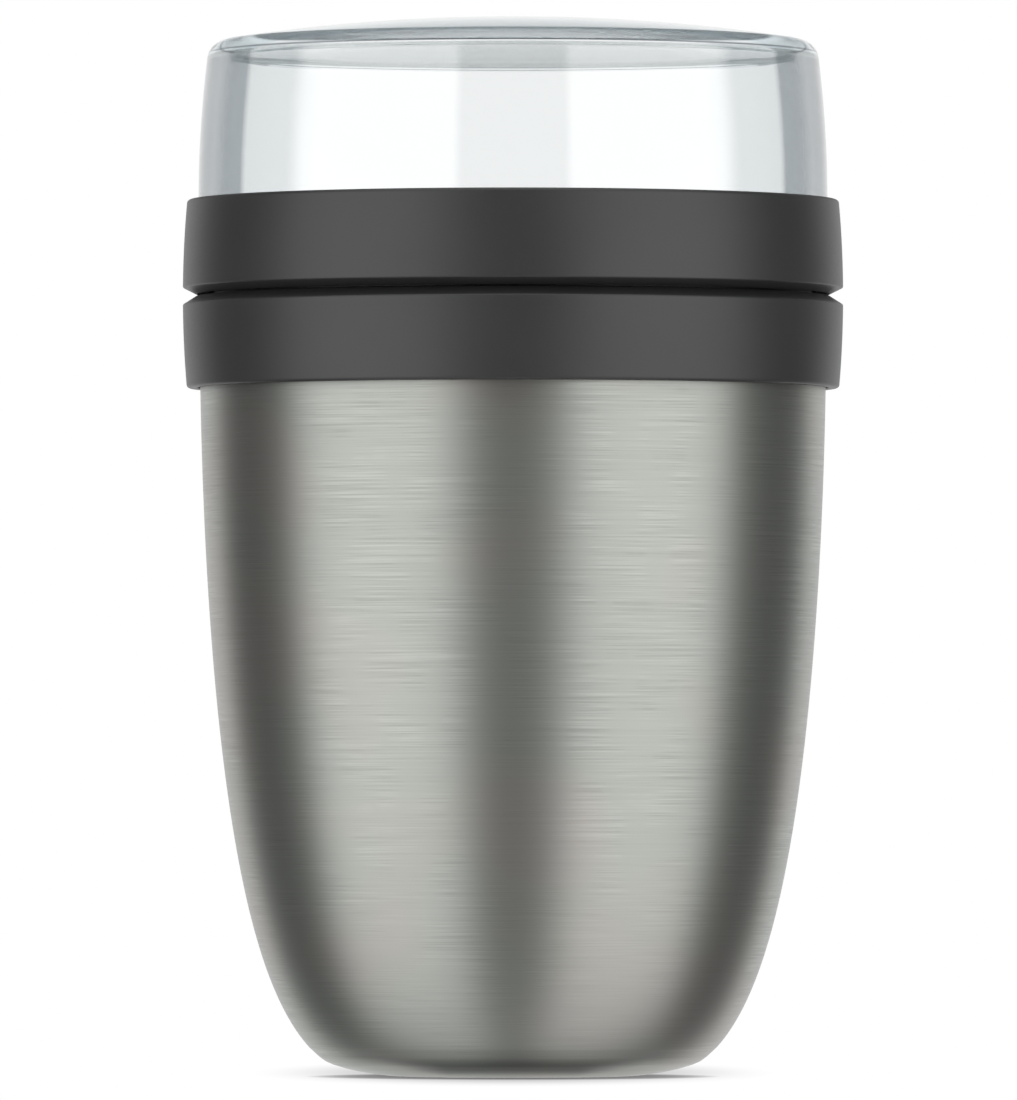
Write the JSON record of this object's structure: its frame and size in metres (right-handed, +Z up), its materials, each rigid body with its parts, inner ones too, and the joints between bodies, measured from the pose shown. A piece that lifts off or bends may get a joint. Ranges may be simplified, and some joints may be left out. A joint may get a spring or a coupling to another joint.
{
  "type": "insulated lunch pot",
  "caption": "Insulated lunch pot: brushed steel vacuum pot with a rounded foot, dark screw lid with a foam plug, and a clear cup screwed upside down on top.",
  "frame": {"origin": "centre of the face that the pot stands on", "axes": "+Z up along the pot's axis, -Y towards the picture's camera"},
  "size_m": [0.107, 0.107, 0.1713],
  "materials": {
    "brushed_steel": "stainless steel brushed round the pot",
    "polished_steel": "bright drawn stainless steel",
    "dark_plastic": "fine matt moulded plastic, dark grey",
    "silicone": "translucent white silicone",
    "clear_plastic": "clear polished plastic",
    "foam": "white closed-cell foam",
    "solder_glass": "grey-brown solder glass",
    "getter_alloy": "pressed grey metal powder"
  },
  "bodies": {
    "pot": {"outer_shell": "brushed_steel", "inner_vessel": "polished_steel", "base_plate": "polished_steel", "seal_bead": "solder_glass", "base_cover": "brushed_steel", "getter_clip": "polished_steel", "getter_pellet": "getter_alloy", "pot_collar": "dark_plastic", "collar_gasket": "silicone"},
    "lid_gasket": {"pot_seal": "silicone"},
    "lid": {"lid_ring": "dark_plastic", "lid_plug": "dark_plastic", "insulation_disc": "foam"},
    "cup_gasket": {"cup_seal": "silicone"},
    "cup": {"clear_cup": "clear_plastic"}
  },
  "joints": [
    {"name": "lid_lift", "type": "slide", "parent": "pot", "child": "lid_gasket", "axis": [0, 0, 1], "range_m": [0, 0.0901]},
    {"name": "lid_turn", "type": "hinge", "parent": "lid_gasket", "child": "lid", "pos_m": [0, 0, 0.13], "axis": [0, 0, 1], "range_deg": [0, 1800]},
    {"name": "cup_lift", "type": "slide", "parent": "lid", "child": "cup_gasket", "axis": [0, 0, 1], "range_m": [0, 0.0541]},
    {"name": "cup_turn", "type": "hinge", "parent": "cup_gasket", "child": "cup", "pos_m": [0, 0, 0.14], "axis": [0, 0, 1], "range_deg": [0, 1080]}
  ],
  "couplings": [
    {"joint": "lid_lift", "follows": "lid_turn", "m_per_rad": 0.0028648},
    {"joint": "cup_lift", "follows": "cup_turn", "m_per_rad": 0.0028648}
  ]
}
